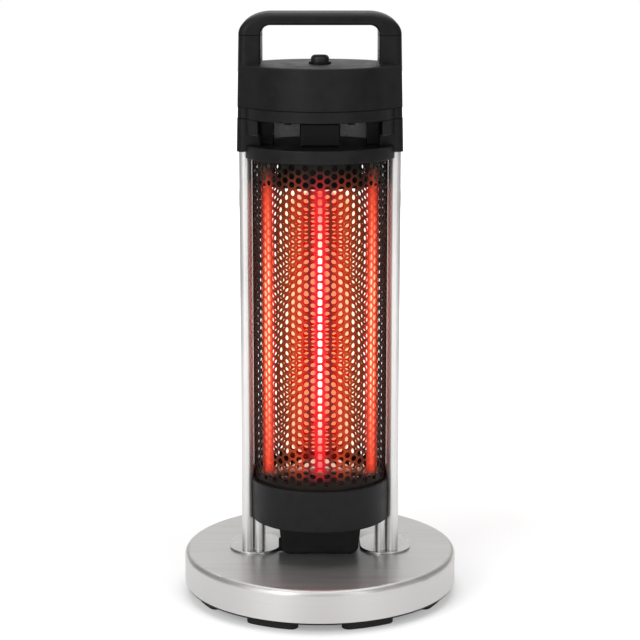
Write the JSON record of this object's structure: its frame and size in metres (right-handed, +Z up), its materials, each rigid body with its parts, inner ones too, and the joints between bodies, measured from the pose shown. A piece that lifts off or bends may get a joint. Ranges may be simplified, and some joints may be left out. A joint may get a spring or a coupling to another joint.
{
  "type": "infrared heater",
  "caption": "Free-standing upright infrared heater: quartz lamps in a round perforated guard between two poles, with a carry grip, push button and a weighted round base.",
  "frame": {"origin": "on the floor, under the middle of the round base", "axes": "+Z up along the guard's axis, the front faces -Y, the two poles lie along X"},
  "size_m": [0.3, 0.3, 0.635],
  "materials": {
    "brushed_stainless": "linear brushed stainless steel",
    "black_steel": "satin black heat-proof paint",
    "guard_steel": "dark heat-proof paint on perforated sheet",
    "cast_iron": "as cast",
    "black_rubber": "moulded black rubber",
    "polished_metal": "polished",
    "zinc_steel": "zinc-plated steel",
    "black_plastic": "fine satin moulded plastic",
    "reflector": "bright sheet",
    "ceramic": "glazed steatite, ceramic in the real lamp",
    "nickel": "nickel plate",
    "brass": "turned brass",
    "quartz": "clear quartz, glowing when on",
    "filament": "glowing carbon ribbon",
    "lead_sleeve": "heat-proof sleeve"
  },
  "bodies": {
    "heater": {"base_pan": "brushed_stainless", "base_plate": "black_steel", "guard_cap": "black_steel", "lamp_cup": "black_steel", "guard": "guard_steel", "base_ballast": "cast_iron", "base_feet": "black_rubber", "pole_left": "polished_metal", "pole_right": "polished_metal", "pole_flange_left": "polished_metal", "pole_flange_right": "polished_metal", "cup_post_left": "polished_metal", "cup_post_right": "polished_metal", "pole_side_cap_left": "polished_metal", "pole_side_cap_right": "polished_metal", "base_standoffs": "zinc_steel", "base_screws": "zinc_steel", "pole_anchor_left": "zinc_steel", "pole_anchor_right": "zinc_steel", "pole_bolts": "zinc_steel", "post_bolts": "zinc_steel", "terminal_box_screws": "zinc_steel", "lower_plate_screws": "zinc_steel", "upper_plate_screws": "zinc_steel", "head_screws": "zinc_steel", "socket_screws": "zinc_steel", "guard_cap_screws": "zinc_steel", "grip_screws": "zinc_steel", "switch_bracket": "zinc_steel", "vent_baffle": "zinc_steel", "thermal_cutout": "zinc_steel", "terminal_box": "black_plastic", "cable_gland": "black_plastic", "pole_socket_left": "black_plastic", "pole_socket_right": "black_plastic", "vent_duct": "black_plastic", "head_ring": "black_plastic", "head_cover": "black_plastic", "handle_grip": "black_plastic", "button_collar": "black_plastic", "switch_body": "black_plastic", "tip_switch_body": "black_plastic", "lower_lamp_plate": "reflector", "upper_lamp_plate": "reflector", "lower_lamp_holders": "ceramic", "upper_lamp_holders": "ceramic", "terminal_strip": "ceramic", "lower_lamp_caps": "nickel", "upper_lamp_caps": "nickel", "terminal_screws": "brass", "lamp_tube_left": "quartz", "lamp_tube_centre": "quartz", "lamp_tube_right": "quartz", "lamp_filament_left": "filament", "lamp_filament_centre": "filament", "lamp_filament_right": "filament", "lamp_leads": "lead_sleeve", "pole_lead": "lead_sleeve"},
    "button": {"power_button": "black_rubber"},
    "plunger": {"tip_plunger": "black_plastic"}
  },
  "joints": [
    {"name": "power_press", "type": "slide", "parent": "heater", "child": "button", "axis": [0, 0, -1], "range_m": [0, 0.0035], "stiffness_N_per_m": 400, "springref_m": -0.001},
    {"name": "tip_switch", "type": "slide", "parent": "heater", "child": "plunger", "axis": [0, 0, -1], "range_m": [0, 0.006], "stiffness_N_per_m": 40, "springref_m": 0.012}
  ]
}
